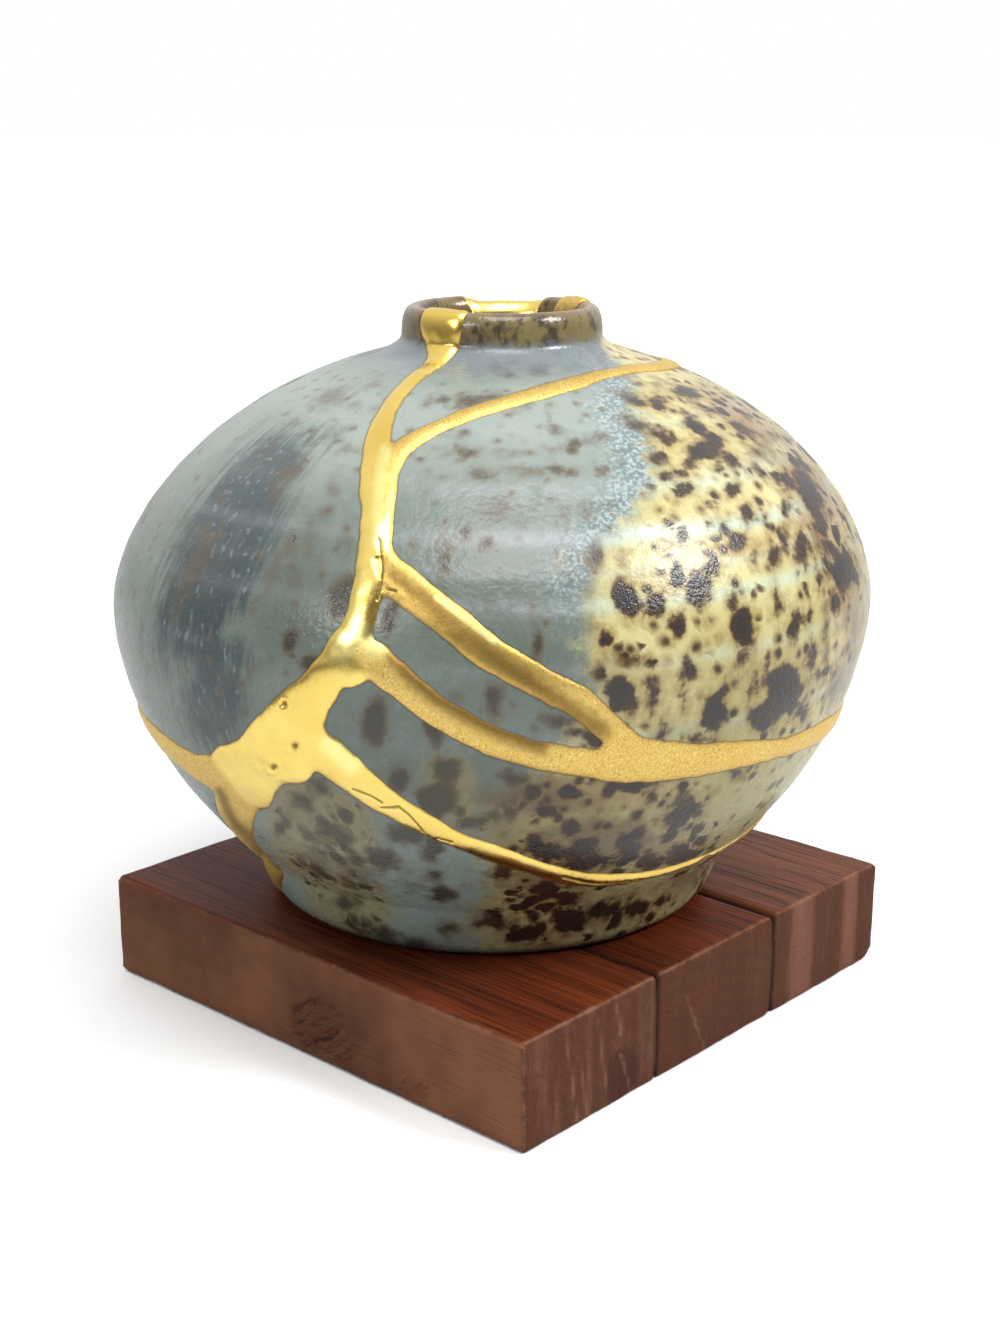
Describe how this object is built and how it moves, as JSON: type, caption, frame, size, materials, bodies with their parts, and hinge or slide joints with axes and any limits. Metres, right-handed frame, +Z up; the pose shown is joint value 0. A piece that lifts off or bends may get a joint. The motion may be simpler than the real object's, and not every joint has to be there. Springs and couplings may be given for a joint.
{
  "type": "kintsugi vase on a wooden stand",
  "caption": "Squat stoneware vase in streaked blue-grey and olive glaze, broken and mended with raised gold seams, standing on a square stand of joined wooden planks.",
  "frame": {"origin": "middle of the stand's underside", "axes": "+Z up out of the vase's mouth, +Y along the stand's planks, +X across them. The vase's front looks between -X and -Y"},
  "size_m": [0.1321, 0.1321, 0.1235],
  "materials": {
    "wood_left": "oiled reddish brown hardwood with a fine straight grain",
    "wood_middle": "oiled reddish brown hardwood with a fine straight grain",
    "wood_right": "oiled reddish brown hardwood with a broad pale figure",
    "blue_glaze": "satin blue-grey stoneware glaze with brown iron spots",
    "olive_glaze": "satin olive stoneware glaze with dark brown iron spots",
    "gold": "softly brushed gold over a lacquer fill"
  },
  "bodies": {
    "root": {"plank_left": "wood_left", "plank_middle": "wood_middle", "plank_right": "wood_right", "shoulder_piece_left": "blue_glaze", "neck_piece": "blue_glaze", "shoulder_piece_right": "olive_glaze", "sliver_piece": "blue_glaze", "belly_piece": "olive_glaze", "foot_piece": "blue_glaze", "gold_seams": "gold"}
  },
  "joints": []
}
